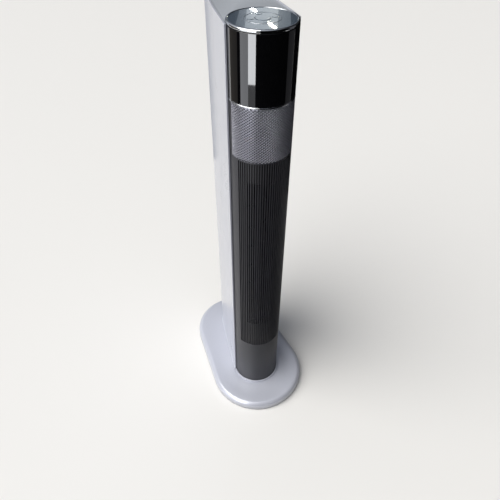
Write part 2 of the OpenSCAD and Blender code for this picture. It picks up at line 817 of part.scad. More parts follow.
module swing_pinion() {
    color(nylon_white) parked() translate([0, pinion_y, 0]) {
        rotate([0, 0, 270 + 180 / pinion_teeth])
            prism(gear_points(pinion_teeth), pinion_z, pinion_z + pinion_h);
        translate([0, 0, pinion_z + 1]) cylinder(r = swing_shaft_r, h = ear_z + 5 - pinion_z - 1);
    }
}

// ---- column: blower ----

module blower_plate(z0) {
    difference() {
        union() {
            inner_slab(liner_in - fit_gap, fit_gap, z0, z0 + blower_plate_t);
            for (a = rear_screw_angles)
                translate([0, rear_y, z0 + blower_plate_t / 2]) rotate([0, 0, a])
                    translate([rear_r - housing_wall - fit_gap - rear_boss_depth, 0, 0]) rotate([0, 90, 0])
                        cylinder(r = boss_r, h = rear_boss_length);
        }
        for (a = rear_screw_angles)
            translate([0, rear_y, z0 + blower_plate_t / 2]) rotate([0, 0, a])
                translate([rear_r - rear_screw_sink - rear_screw_length + screw_head_h, 0, 0])
                    rotate([0, 90, 0]) cylinder(r = pilot_r, h = rear_screw_length);
        translate([cable_x - cable_t - cable_gap, cable_y - cable_gap, z0 - overcut])
            cube([cable_t + 2 * cable_gap, cable_w + 2 * cable_gap, blower_plate_t + 2 * overcut]);
    }
}

module blower_floor() {
    color(rubber_black) parked() difference() {
        blower_plate(blower_z - blower_plate_t);
        translate([0, mid_y, 0]) cylinder(r = hub_out_r + 1, h = blower_z + 1);
        motor_mount_places() cylinder(r = screw_r + screw_clearance, h = blower_z + 1);
    }
}

module blower_ceiling() {
    color(rubber_black) parked() difference() {
        blower_plate(blower_top);
        translate([0, mid_y, blower_top - 1]) cylinder(r = holder_r, h = blower_plate_t + 2);
    }
}

module bearing_holder() {
    lip = 3;
    plate_top_z = blower_top + blower_plate_t;
    color(rubber_black) parked() translate([0, mid_y, 0]) {
        tube(holder_r - bearing_gap, bearing_r, blower_top, plate_top_z);
        tube(holder_r + lip, bearing_r, plate_top_z, plate_top_z + lip);
    }
}

module top_bearing() {
    color("#b08d57") parked() translate([0, mid_y, 0])
        tube(bearing_r - bearing_gap, stub_r + bearing_gap, blower_top - 1, blower_top + blower_plate_t + 4);
}

module scroll_wall() {
    path = concat([[-mouth_x, duct_front_y]],
        [for (a = [scroll_end : -5 : scroll_start])
            let (growth = scroll_share * scroll_growth * (a - scroll_start) / (180 - scroll_start),
                r = impeller_r + scroll_gap + duct_t / 2 + growth)
            [r * cos(a), mid_y + r * sin(a)]]);
    color(rubber_black) parked() prism(wall_points(path, duct_t), blower_z, blower_top);
}

module tongue_wall() {
    r = impeller_r + tongue_gap + 0.75 * tongue_r;
    tip = [r * cos(tongue_angle), mid_y + r * sin(tongue_angle)];
    color(rubber_black) parked() {
        prism(wall_points([[mouth_x, duct_front_y], tip], duct_t), blower_z, blower_top);
        translate([tip[0], tip[1], blower_z]) cylinder(r = tongue_r, h = blower_top - blower_z);
    }
}

module duct_frame() {
    color(rubber_black) parked() difference() {
        arc_shell(liner_in, liner_out, grille_z - 2, diamond_z + 2, liner_angle);
        arc_shell(liner_in - 1, liner_out + 1, mouth_z, mouth_top, mouth_angle);
    }
}

module outlet_grid() {
    half = mouth_x - duct_t / 2 - 0.2;
    vane_front = -(cover_in - vane_setback);
    color("#2c2c30") parked() {
        for (z = [blower_z, mouth_top]) translate([-half, duct_front_y, z]) cube([2 * half, rail_depth, rail_h]);
        for (s = [-1, 1])
            translate([s * vane_x - vane_t / 2, vane_front, mouth_z]) cube([vane_t, vane_depth, mouth_top - mouth_z]);
        for (s = [-1, 1], z = [blower_z + 2, mouth_top - 1])
            translate([s * vane_x - vane_t / 2, duct_front_y, z]) cube([vane_t, rail_depth, rail_h - 1]);
    }
}

module motor_case() {
    color(steel) parked() translate([0, mid_y, 0]) difference() {
        translate([0, 0, motor_z]) cylinder(r = motor_d / 2, h = motor_h);
        translate([0, 0, motor_z + motor_wall]) cylinder(r = motor_d / 2 - motor_wall, h = motor_h - 2 * motor_wall);
        translate([0, 0, motor_z - 1]) cylinder(r = shaft_r + bearing_gap, h = motor_h + 2);
        translate([0, -mid_y, motor_top - 3]) motor_mount_places() cylinder(r = pilot_r, h = 4);
    }
}

module motor_stator() {
    color("#a5602f") parked() translate([0, mid_y, 0])
        tube(motor_d / 2 - motor_wall, rotor_r + rotor_gap, motor_z + 8, motor_top - 8);
}

module motor_rotor() {
    color(steel) parked() translate([0, mid_y, 0])
        tube(rotor_r, shaft_r, motor_z + 9, motor_top - 9);
}

module motor_shaft() {
    color(steel) parked() translate([0, mid_y, motor_z - 4]) cylinder(r = shaft_r, h = impeller_z + impeller_bore - motor_z + 4);
}

module rubber_mounts() {
    color(rubber_black) parked() motor_mount_places() tube(5, screw_r + screw_clearance, motor_top, motor_top + mount_h);
}

module mount_screws() {
    color(steel) parked() motor_mount_places()
        translate([0, 0, blower_z + screw_head_h]) rotate([180, 0, 0])
            screw(screw_head_h + blower_plate_t + mount_h + motor_wall);
}

module impeller() {
    length = impeller_top - impeller_z;
    color("#26262a") parked() translate([0, mid_y, 0]) difference() {
        union() {
            for (i = [0 : ring_count - 1])
                translate([0, 0, impeller_z + (length - ring_t) * i / (ring_count - 1)])
                    if (i == 0 || i == ring_count - 1) cylinder(r = impeller_r, h = ring_t);
                    else tube(impeller_r, impeller_r - blade_chord, 0, ring_t);
            for (k = [0 : blade_count - 1])
                rotate([0, 0, 360 * k / blade_count])
                    translate([impeller_r - blade_chord / 2 - blade_edge, 0, impeller_z + ring_t / 2])
                        rotate([0, 0, blade_skew])
                            translate([-blade_chord / 2, -blade_t / 2, 0]) cube([blade_chord, blade_t, length - ring_t]);
            translate([0, 0, impeller_z]) cylinder(r = hub_out_r, h = impeller_hub_h);
            translate([0, 0, impeller_top - 1]) cylinder(r = stub_r, h = blower_top + blower_plate_t + 3 - impeller_top + 1);
        }
        translate([0, 0, impeller_z - overcut]) cylinder(r = shaft_r, h = impeller_bore + overcut);
    }
}

base_shell();
base_plate();
ballast_plate();
rubber_feet();
base_screws();
cord_gland();
turntable_bush();
swing_gear();
gear_screws();
tower_floor();
rear_housing();
floor_screws();
rear_grille();
housing_screws();
top_panel();
front_cover();
diamond_panel();
chrome_ring();
display_cover();
top_bezel();
control_disc();
control_tray();
control_board();
display_board();
power_board();
board_screws();
swing_motor();
motor_ear_screws();
blower_floor();
blower_ceiling();
scroll_wall();
tongue_wall();
duct_frame();
outlet_grid();
motor_case();
motor_stator();
rubber_mounts();
mount_screws();
bearing_holder();
top_bearing();
ribbon_cable();
impeller();
motor_shaft();
motor_rotor();
swing_pinion();
power_button();
front_button();
right_button();
rear_button();
left_button();
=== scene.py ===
import json
import math

import bmesh
import bpy
from mathutils import Matrix, Vector


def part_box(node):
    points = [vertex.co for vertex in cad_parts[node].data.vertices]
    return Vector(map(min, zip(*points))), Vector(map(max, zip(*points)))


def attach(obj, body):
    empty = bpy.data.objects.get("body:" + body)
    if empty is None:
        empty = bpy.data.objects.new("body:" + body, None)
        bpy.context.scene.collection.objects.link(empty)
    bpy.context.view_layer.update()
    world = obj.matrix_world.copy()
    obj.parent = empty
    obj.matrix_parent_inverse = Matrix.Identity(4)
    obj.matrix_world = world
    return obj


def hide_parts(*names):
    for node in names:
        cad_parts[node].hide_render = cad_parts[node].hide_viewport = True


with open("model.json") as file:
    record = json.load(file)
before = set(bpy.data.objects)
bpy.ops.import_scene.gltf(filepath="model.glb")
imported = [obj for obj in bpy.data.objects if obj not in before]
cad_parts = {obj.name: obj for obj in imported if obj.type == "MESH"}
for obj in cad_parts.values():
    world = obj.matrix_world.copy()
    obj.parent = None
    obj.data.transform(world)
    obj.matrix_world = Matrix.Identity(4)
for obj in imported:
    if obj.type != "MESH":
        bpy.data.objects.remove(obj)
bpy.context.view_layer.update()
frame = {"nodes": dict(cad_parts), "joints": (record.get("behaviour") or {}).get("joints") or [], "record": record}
mm = 0.001

# places taken from the frame, in mm
joints = {joint["name"]: joint for joint in frame["joints"]}
pivot = Vector(joints["column_swing"]["pos_m"]) / mm
blowerAxis = Vector(joints["blower_spin"]["pos_m"]) / mm
parkedTurn = math.atan2(-(blowerAxis.x - pivot.x), blowerAxis.y - pivot.y)
blowerReach = math.hypot(blowerAxis.x - pivot.x, blowerAxis.y - pivot.y)


def lowZ(node):
    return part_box(node)[0][2] / mm


def highZ(node):
    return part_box(node)[1][2] / mm


def halfWidth(node):
    low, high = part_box(node)
    return (high[0] - low[0]) / 2 / mm


drumR = halfWidth("top_bezel")
# the column's own frame: drum axis at the origin, its back towards +Y, heights from the floor
baseFrame = Matrix.Translation((pivot.x * mm, pivot.y * mm, 0))
columnFrame = baseFrame @ Matrix.Rotation(parkedTurn, 4, "Z")


def colour(hexValue):
    # sRGB hex to linear
    parts = [int(hexValue[i:i + 2], 16) / 255 for i in (1, 3, 5)]
    return tuple(p / 12.92 if p <= 0.04045 else ((p + 0.055) / 1.055) ** 2.4 for p in parts) + (1.0,)


def addNode(tree, kind, settings=None, links=None):
    # adds a node, sets its properties and inputs, and links sockets into it
    node = tree.nodes.new(kind)
    for key, value in (settings or {}).items():
        if isinstance(key, str) and hasattr(node, key):
            setattr(node, key, value)
        else:
            node.inputs[key].default_value = value
    for key, socket in (links or {}).items():
        tree.links.new(socket, node.inputs[key])
    return node


def startMaterial(name, settings):
    material = bpy.data.materials.new(name)
    material.use_nodes = True
    tree = material.node_tree
    tree.nodes.clear()
    shader = addNode(tree, "ShaderNodeBsdfPrincipled", settings)
    addNode(tree, "ShaderNodeOutputMaterial", {}, {"Surface": shader.outputs[0]})
    where = addNode(tree, "ShaderNodeTexCoord")
    return material, tree, shader, where.outputs["Object"]


def placeObject(name, data, place=None):
    thing = bpy.data.objects.new(name, data)
    bpy.context.scene.collection.objects.link(thing)
    if place is not None:
        thing.matrix_world = place
    return thing


def finishPiece(piece, material, body, replaces=(), bevel=0.0, sharp=40):
    mesh = piece.data
    mesh.shade_smooth()
    if bevel:
        edge = piece.modifiers.new("roundedEdges", "BEVEL")
        edge.width = bevel * mm
        edge.segments = 3
        edge.limit_method = "ANGLE"
        edge.angle_limit = math.radians(sharp)
        edge.use_clamp_overlap = True
        even = piece.modifiers.new("evenShading", "WEIGHTED_NORMAL")
        even.keep_sharp = True
    else:
        mesh.set_sharp_from_angle(angle=math.radians(sharp))
    mesh.materials.clear()
    mesh.materials.append(material)
    bpy.context.view_layer.update()
    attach(piece, body)
    if replaces:
        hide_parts(*replaces)


def makePiece(name, shape, material, body, place, replaces=(), bevel=0.0, sharp=40):
    # a shape is (points, faces), its points in mm in the place's frame
    points, faces = shape
    mesh = bpy.data.meshes.new(name)
    mesh.from_pydata([tuple(c * mm for c in p) for p in points], [], faces)
    work = bmesh.new()
    work.from_mesh(mesh)
    bmesh.ops.remove_doubles(work, verts=work.verts, dist=1e-6)
    bmesh.ops.recalc_face_normals(work, faces=work.faces)
    work.to_mesh(mesh)
    work.free()
    finishPiece(placeObject(name, mesh, place), material, body, replaces, bevel, sharp)


def platePiece(name, outlines, low, high, material, body, place, replaces=(), bevel=0.2):
    # a flat plate with holes and rounded edges: the first outline is its edge, the others are holes
    curve = bpy.data.curves.new(name, "CURVE")
    curve.dimensions = "2D"
    curve.fill_mode = "BOTH"
    curve.extrude = (high - low) / 2 * mm - bevel * mm
    curve.bevel_depth = bevel * mm
    curve.bevel_resolution = 3
    curve.offset = -bevel * mm
    for outline in outlines:
        spline = curve.splines.new("POLY")
        spline.points.add(len(outline) - 1)
        for point, (x, y) in zip(spline.points, outline):
            point.co = (x * mm, y * mm, 0, 1)
        spline.use_cyclic_u = True
    drawn = placeObject(name + "Outline", curve)
    bpy.context.view_layer.update()
    mesh = bpy.data.meshes.new_from_object(drawn.evaluated_get(bpy.context.evaluated_depsgraph_get()))
    mesh.name = name
    bpy.data.objects.remove(drawn)
    bpy.data.curves.remove(curve)
    work = bmesh.new()
    work.from_mesh(mesh)
    bmesh.ops.remove_doubles(work, verts=work.verts, dist=1e-7)
    # the flat faces become one each, so that their shading stays flat up to the rounded edge
    bmesh.ops.dissolve_limit(work, angle_limit=math.radians(0.5), verts=work.verts, edges=work.edges)
    work.to_mesh(mesh)
    work.free()
    piece = placeObject(name, mesh, place @ Matrix.Translation((0, 0, (low + high) / 2 * mm)))
    finishPiece(piece, material, body, replaces, 0, 30)
    even = piece.modifiers.new("evenShading", "WEIGHTED_NORMAL")
    even.weight = 100
    even.keep_sharp = True


def merge(shapes):
    # joins several (points, faces) shapes into one
    points, faces = [], []
    for somePoints, someFaces in shapes:
        start = len(points)
        points += list(somePoints)
        faces += [tuple(i + start for i in face) for face in someFaces]
    return points, faces


def steps(low, high, step):
    # even steps from low to high, none longer than step
    count = max(1, math.ceil(abs(high - low) / step - 1e-9))
    return [low + (high - low) * i / count for i in range(count + 1)]


def skin(columns, heights, thickness, isOpen=None, flare=None):
    # a wall of even thickness: columns are (x, y, normalX, normalY) along its outside, heights its levels.
    # isOpen(column, row) leaves a hole, flare(height) pushes the outside out
    nCol, nRow = len(columns), len(heights)
    points = []
    for x, y, nx, ny in columns:
        for z in heights:
            out = flare(z) if flare else 0
            points.append((x + nx * out, y + ny * out, z))
    for x, y, nx, ny in columns:
        for z in heights:
            points.append((x - nx * thickness, y - ny * thickness, z))
    inner = nCol * nRow

    def solid(c, r):
        if c < 0 or c >= nCol - 1 or r < 0 or r >= nRow - 1:
            return False
        return not (isOpen and isOpen(c, r))

    faces = []
    for c in range(nCol - 1):
        for r in range(nRow - 1):
            if not solid(c, r):
                continue
            a = c * nRow + r
            b, d, e = a + nRow, a + nRow + 1, a + 1
            faces.append((a, b, d, e))
            faces.append((a + inner, e + inner, d + inner, b + inner))
            sides = (((c - 1, r), a, e), ((c + 1, r), d, b), ((c, r - 1), b, a), ((c, r + 1), e, d))
            for near, first, second in sides:
                if not solid(*near):
                    faces.append((first, second, second + inner, first + inner))
    return points, faces


def arcColumns(radius, angles, centre=(0, 0)):
    # columns for skin along an arc, angles in degrees
    columns = []
    for angle in angles:
        nx, ny = math.cos(math.radians(angle)), math.sin(math.radians(angle))
        columns.append((centre[0] + radius * nx, centre[1] + radius * ny, nx, ny))
    return columns


def lathe(profile, count=144, start=0.0, end=360.0):
    # turns a closed loop of (radius, height) round the axis
    full = end - start >= 360
    nAngle = count if full else count + 1
    n = len(profile)
    points = []
    for i in range(nAngle):
        a = math.radians(start + (end - start) * i / count)
        points += [(r * math.cos(a), r * math.sin(a), z) for r, z in profile]
    faces = []
    for i in range(count):
        j = (i + 1) % nAngle
        for k in range(n):
            m = (k + 1) % n
            faces.append((i * n + k, j * n + k, j * n + m, i * n + m))
    if not full:
        faces.append(tuple(range(n)))
        faces.append(tuple(count * n + k for k in reversed(range(n))))
    return points, faces


def roundedBand(rIn, rOut, low, high, edge, count=6):
    # a closed profile for lathe, with its two outer corners rounded
    turns = [math.pi / 2 * i / count for i in range(count + 1)]
    profile = [(rIn, low), (rOut - edge, low)]
    profile += [(rOut - edge + edge * math.sin(a), low + edge - edge * math.cos(a)) for a in turns[1:]]
    profile += [(rOut - edge + edge * math.cos(a), high - edge + edge * math.sin(a)) for a in turns]
    return profile + [(rIn, high)]


def circlePoints(radius, count=96):
    turns = [2 * math.pi * i / count for i in range(count)]
    return [(radius * math.cos(t), radius * math.sin(t)) for t in turns]


def ovalPoints(width, height, centre, count=16):
    cx, cy = centre
    half, r = (width - height) / 2, height / 2
    turns = [math.pi * i / count for i in range(count + 1)]
    right = [(cx + half + r * math.sin(t), cy - r * math.cos(t)) for t in turns]
    left = [(2 * cx - x, 2 * cy - y) for x, y in right]
    return right + left


def noiseOf(tree, where, size, detail=3.0, roughness=0.5):
    # noise whose grain is size mm across
    settings = {"Scale": 1 / (size * mm), "Detail": detail, "Roughness": roughness}
    return addNode(tree, "ShaderNodeTexNoise", settings, {"Vector": where}).outputs["Fac"]


def spread(tree, value, low, high, toLow, toHigh):
    settings = {"From Min": low, "From Max": high, "To Min": toLow, "To Max": toHigh}
    return addNode(tree, "ShaderNodeMapRange", settings, {"Value": value}).outputs["Result"]


def twoColours(tree, factor, first, second):
    settings = {"data_type": "RGBA", 6: colour(first), 7: colour(second)}
    return addNode(tree, "ShaderNodeMix", settings, {0: factor}).outputs[2]


def bumps(tree, shader, layers):
    # layers are (height socket, depth in mm)
    normal = None
    for height, depth in layers:
        links = {"Height": height}
        if normal:
            links["Normal"] = normal
        normal = addNode(tree, "ShaderNodeBump", {"Strength": 1.0, "Distance": depth * mm}, links).outputs[0]
    tree.links.new(normal, shader.inputs["Normal"])


def surface(name, first, second, grain, roughness, bump, settings, blotch=60.0):
    # a moulded or coated finish: two close colours in the grain, soft blotches in the gloss, fine relief.
    # grain, blotch and the sizes and depths in bump are in mm
    material, tree, shader, where = startMaterial(name, settings)
    fine = noiseOf(tree, where, grain, 4.0, 0.6)
    broad = noiseOf(tree, where, blotch, 2.0)
    paint = twoColours(tree, spread(tree, fine, 0.3, 0.7, 0, 1), first, second)
    tree.links.new(paint, shader.inputs["Base Color"])
    halved = {"operation": "MULTIPLY_ADD", 1: 0.5}
    gloss = addNode(tree, "ShaderNodeMath", {**halved, 2: 0.0}, {0: fine}).outputs[0]
    gloss = addNode(tree, "ShaderNodeMath", halved, {0: broad, 2: gloss}).outputs[0]
    tree.links.new(spread(tree, gloss, 0.3, 0.7, roughness[0], roughness[1]), shader.inputs["Roughness"])
    bumps(tree, shader, [(noiseOf(tree, where, size, 2.0), depth) for size, depth in bump])
    return material


# silver metallic paint on moulded ABS: fine flakes under a satin lacquer, with a faint orange peel in
# reflections
silverPaint = surface(
    "silverPaintedAbs", "#bfc1cc", "#c9cbd5", 0.35, (0.26, 0.34), [(3.5, 0.012), (0.3, 0.0015)],
    {"Metallic": 0.22, "IOR": 1.5, "Coat Weight": 0.5, "Coat Roughness": 0.06, "Coat IOR": 1.5})
# satin silver lid, painted over a finer moulded grain: greyer and flatter than the housing
lidPaint = surface(
    "satinPaintedLid", "#a4a8ae", "#adb1b7", 0.4, (0.42, 0.52), [(0.6, 0.006)],
    {"Metallic": 0.2, "IOR": 1.5})
# charcoal ABS with a spark-eroded mould finish: a soft broad sheen and a very fine tooth
charcoalAbs = surface(
    "charcoalMouldedAbs", "#333338", "#3a3a3f", 0.5, (0.36, 0.46), [(0.45, 0.008)],
    {"IOR": 1.45})
# grey metallic paint on the diamond mesh, so its bars stand out lighter than the charcoal round them
meshPaint = surface(
    "greyPaintedMesh", "#9696a0", "#a2a2ac", 0.4, (0.3, 0.38), [(0.5, 0.004)],
    {"Metallic": 0.6, "IOR": 1.45})
# piano-black acrylic under a hard coat: deep, nearly mirror-like, with the lightest haze of wiping marks
pianoBlack = surface(
    "pianoBlackAcrylic", "#08080a", "#0b0b0d", 30.0, (0.03, 0.06), [(40.0, 0.01)],
    {"IOR": 1.5, "Coat Weight": 1.0, "Coat Roughness": 0.02, "Coat IOR": 1.6})
# polished acrylic over a blue-grey metallic backing: reads as dark glass with a metal depth
controlAcrylic = surface(
    "backPaintedAcrylic", "#485767", "#536373", 0.3, (0.2, 0.26), [(0.8, 0.0005)],
    {"Metallic": 0.5, "IOR": 1.45, "Coat Weight": 1.0, "Coat Roughness": 0.03, "Coat IOR": 1.5})
# bright chrome plating on ABS: a mirror with a slight ripple from the moulding under it
chromePlate = surface(
    "chromePlatedAbs", "#d9dce1", "#e4e6ea", 8.0, (0.05, 0.09), [(6.0, 0.004)],
    {"Metallic": 1.0})
# black ABS inside, straight from the mould: dull with a coarse tooth
blackAbs = surface(
    "blackMouldedAbs", "#121214", "#18181a", 0.8, (0.5, 0.6), [(0.7, 0.012)],
    {"IOR": 1.53})
# moulded rubber: dark and dull, with a dusty bloom
rubber = surface(
    "mouldedRubber", "#151515", "#1e1e1e", 1.0, (0.7, 0.85), [(0.8, 0.02)],
    {"IOR": 1.52})
# zinc-plated steel: bluish, with faintly mottled crystals
zincSteel = surface(
    "zincPlatedSteel", "#9b9fa6", "#b6babf", 1.2, (0.22, 0.36), [(1.0, 0.004)],
    {"Metallic": 1.0})
# natural acetal: waxy off-white, letting a little light into its edges
acetal = surface(
    "mouldedAcetal", "#dcd9cf", "#e6e3da", 1.5, (0.32, 0.42), [(1.5, 0.004)],
    {"IOR": 1.48, "Subsurface Weight": 0.15})
# solder mask over glass fibre: green gloss with the weave just showing
solderMask = surface(
    "solderMaskedLaminate", "#134a2a", "#1b5d36", 1.0, (0.2, 0.32), [(1.0, 0.01)],
    {"IOR": 1.55})
# enamelled copper windings: red-brown and varnished, rough as wound wire
copperWire = surface(
    "enamelledCopper", "#7c3f1d", "#9a5529", 0.9, (0.3, 0.4), [(0.9, 0.05)],
    {"Metallic": 0.6})
# sintered bronze: porous and oily, with a dim yellow gleam
bronze = surface(
    "sinteredBronze", "#8c6b3a", "#a27e48", 0.6, (0.4, 0.55), [(0.4, 0.01)],
    {"Metallic": 1.0})
# extruded grey PVC on the ribbon cable: softly shiny, uneven at the wires' 1.27 mm spacing
ribbonPvc = surface(
    "extrudedPvc", "#a2a29d", "#b0b0ab", 1.27, (0.45, 0.55), [(1.27, 0.02)],
    {"IOR": 1.53})

slotMaterials = {
    "silver_abs": silverPaint, "silver_panel": lidPaint, "dark_abs": charcoalAbs, "diamond_abs": meshPaint,
    "gloss_cover": pianoBlack, "control_glass": controlAcrylic, "chrome_trim": chromePlate,
    "button_plastic": controlAcrylic, "black_abs": blackAbs, "rubber": rubber, "steel": zincSteel,
    "acetal": acetal, "circuit_board": solderMask, "copper_winding": copperWire, "bronze": bronze,
    "cable_jacket": ribbonPvc,
}
slotOf = {part["node"]: part["material_slot"] for part in frame["record"]["subparts"]}
for node, cadPiece in frame["nodes"].items():
    cadPiece.data.materials.clear()
    cadPiece.data.materials.append(slotMaterials[slotOf[node]])
print("materials", len(slotMaterials))

# two rounds joined by straight sides, with the drum's axis pivotOffset behind the front round's middle.
# underEdge is (inset, rise from the skirt), seat is (radius, drop from the top) round the column's foot
base = {
    "frontRadius": halfWidth("base_shell"), "rearRadius": 86.9, "spacing": 125.0, "pivotOffset": 5.5,
    "skirt": 1.2, "underEdge": [(3.5, 1.5), (2.5, 0.0), (0.5, 0.0), (0.0, 0.6)],
    "edgeRound": 9.0, "edgeStep": 7.5, "dish": 0.7, "dishFrom": 0.08, "dishStep": 0.09,
    "footRing": 50.5, "seat": [(49.9, 0.3), (47.5, 0.3), (24.0, 0.3), (24.0, 4.0)], "columns": 240,
}


def baseReach(angle, inset):
    # distance from the drum's axis to the base's outline, moved in by inset
    dx, dy = math.cos(angle), math.sin(angle)
    r1, r2 = base["frontRadius"] - inset, base["rearRadius"] - inset
    c1, c2 = -base["pivotOffset"], base["spacing"] - base["pivotOffset"]
    lean = math.asin((r1 - r2) / base["spacing"])
    nx, ny = math.cos(lean), math.sin(lean)
    # the straight side, mirrored to the ray's own side
    side = abs(dx) * nx + dy * ny
    reach = (r1 + c1 * ny) / side if side > 1e-6 else 1e9
    y = dy * reach
    if y < c1 + r1 * ny:
        reach = c1 * dy + math.sqrt(max(0, r1 * r1 - c1 * c1 * dx * dx))
    elif y > c2 + r2 * ny:
        reach = c2 * dy + math.sqrt(max(0, r2 * r2 - c2 * c2 * dx * dx))
    return reach


def makeBaseShell():
    top = lowZ("turntable_bush")
    rounding = base["edgeRound"]
    n = base["columns"]
    angles = [2 * math.pi * i / n for i in range(n)]
    rows = []

    def addRow(z, inset, share=0.0):
        # share runs from the outline at 0 to the foot ring at 1
        row = []
        for a in angles:
            r = baseReach(a, inset) * (1 - share) + base["footRing"] * share
            row.append((r * math.cos(a), r * math.sin(a), z))
        rows.append(row)

    for inset, rise in base["underEdge"]:
        addRow(base["skirt"] + rise, inset)
    for a in [math.radians(d) for d in steps(0, 90, base["edgeStep"])]:
        addRow(top - rounding + rounding * math.sin(a), rounding * (1 - math.cos(a)))
    # the top dips slightly, then rises to a low ring round the column's foot
    for share in steps(base["dishFrom"], 1.0, base["dishStep"]):
        addRow(top - base["dish"] * math.sin(math.pi * share) ** 2, rounding, share)
    for r, drop in base["seat"]:
        rows.append([(r * math.cos(a), r * math.sin(a), top - drop) for a in angles])
    points = [p for row in rows for p in row]
    faces = []
    for r in range(len(rows) - 1):
        for i in range(n):
            j = (i + 1) % n
            faces.append((r * n + i, r * n + j, (r + 1) * n + j, (r + 1) * n + i))
    makePiece("baseShell", (points, faces), silverPaint, "base", baseFrame,
              ["base_shell"], sharp=50)


makeBaseShell()
print("base")

# three rounds of falling radius, one behind the other, wrapped by one wall. Angles are in degrees
housing = {
    "wall": 2.5, "gap": 0.6, "midRadius": 45.6, "rearRadius": 39.8, "rearReach": 130.0, "lip": -2.0,
    "frontStep": 1.5, "sideStep": 0.1, "rearStep": 2.5, "rowStep": 60.0,
    "flareHeight": 7.0, "flareOut": 2.2, "flareStep": 15.0, "flareEnd": 20.0,
    "collar": 3.0, "collarFrom": 2.5, "collarStep": 2.0,
    "intakeAngle": 62.0, "intakeGap": 0.3, "intakeSide": 0.4,
}
housingFrontR = drumR + housing["gap"] + housing["wall"]
columnLow, rimZ = lowZ("rear_housing"), highZ("rear_housing")
mouthLow, mouthHigh = lowZ("rear_grille"), highZ("rear_grille")
# (how far back, radius)
frontRing = (0.0, housingFrontR)
middleRing = (blowerReach, housing["midRadius"])
rearRing = (housing["rearReach"], housing["rearRadius"])


def leanBetween(first, second):
    return math.degrees(math.asin((first[1] - second[1]) / (second[0] - first[0])))


def sideMarks(first, second, lean):
    # rings part of the way along a straight side
    marks = []
    for k in steps(housing["sideStep"], 1, housing["sideStep"]):
        ring = (first[0] + (second[0] - first[0]) * k, first[1] + (second[1] - first[1]) * k)
        marks.append((ring, lean))
    return marks


def housingColumns(inset, lip):
    # right lip, round the back, to the left lip, as (x, y, normalX, normalY)
    leanFront = leanBetween(frontRing, middleRing)
    leanRear = leanBetween(middleRing, rearRing)
    openFrom = 90 - housing["intakeAngle"] - housing["intakeSide"]
    marks = [(frontRing, a) for a in steps(lip, leanFront, housing["frontStep"])]
    marks += sideMarks(frontRing, middleRing, leanFront)
    marks += [(middleRing, leanRear)]
    marks += sideMarks(middleRing, rearRing, leanRear)
    marks += [(rearRing, a) for a in steps(leanRear, openFrom, housing["rearStep"])[1:]]
    marks += [(rearRing, a) for a in steps(openFrom, 90, housing["rearStep"])[1:]]
    right = []
    for (cy, r), a in marks:
        nx, ny = math.cos(math.radians(a)), math.sin(math.radians(a))
        right.append(((r - inset) * nx, cy + (r - inset) * ny, nx, ny))
    left = [(-x, y, -nx, ny) for x, y, nx, ny in reversed(right[:-1])]
    return right + left


def makeHousing():
    columns = housingColumns(0, housing["lip"])
    turns = [math.radians(a) for a in steps(0, 90, housing["flareStep"])]
    heights = [columnLow + housing["flareHeight"] * (1 - math.cos(a)) for a in turns]
    openLow, openHigh = mouthLow - housing["intakeGap"], mouthHigh + housing["intakeGap"]
    heights += steps(columnLow + housing["flareEnd"], openLow, housing["rowStep"])
    heights += steps(openLow, openHigh, housing["rowStep"])[1:]
    heights += steps(openHigh, rimZ, housing["rowStep"])[1:]
    # half a degree and a millimetre of play round the mouth, for columns and rows that end on its edge
    sideLimit = math.cos(math.radians(90 - housing["intakeAngle"] - 0.5))

    def flare(z):
        k = max(0, 1 - (z - columnLow) / housing["flareHeight"])
        return housing["flareOut"] * (1 - math.sqrt(max(0, 1 - k * k))) if k > 0 else 0

    def isOpen(c, r):
        sideways = max(abs(columns[c][2]), abs(columns[c + 1][2]))
        atRear = columns[c][1] > housing["rearReach"] and sideways < sideLimit
        return atRear and heights[r] > mouthLow - 1 and heights[r + 1] < mouthHigh + 1

    wall = skin(columns, heights, housing["wall"], isOpen, flare)
    # the collar closes the housing round the drum's foot
    collarAngles = steps(-housing["collarFrom"], housing["collarFrom"] - 180, housing["collarStep"])
    collar = skin(arcColumns(housingFrontR, collarAngles), [columnLow, columnLow + housing["collar"]],
                  housing["wall"])
    makePiece("rearHousing", merge([wall, collar]), silverPaint, "tower", columnFrame,
              ["rear_housing"], bevel=0.9, sharp=55)


makeHousing()

lid = {"gap": 0.7, "front": 6.0, "below": 0.6, "thickness": 3.0, "frontStep": 2.0}


def lidOutline():
    inset = housing["wall"] + lid["gap"]
    outer = [(x, y) for x, y, nx, ny in housingColumns(inset, 0.0) if y > lid["front"]]
    r = drumR + housing["gap"]
    half = math.degrees(math.asin(min(1, lid["front"] / r)))
    turns = [math.radians(a) for a in steps(180 - half, half, lid["frontStep"])]
    return outer + [(r * math.cos(t), r * math.sin(t)) for t in turns]


lidTop = rimZ - lid["below"]
platePiece("housingLid", [lidOutline()], lidTop - lid["thickness"], lidTop, lidPaint, "tower", columnFrame,
           ["top_panel"], bevel=0.35)

intake = {"slots": 25, "span": 112.0, "slotWidth": 2.1, "border": 8.0, "bar": 8.0}


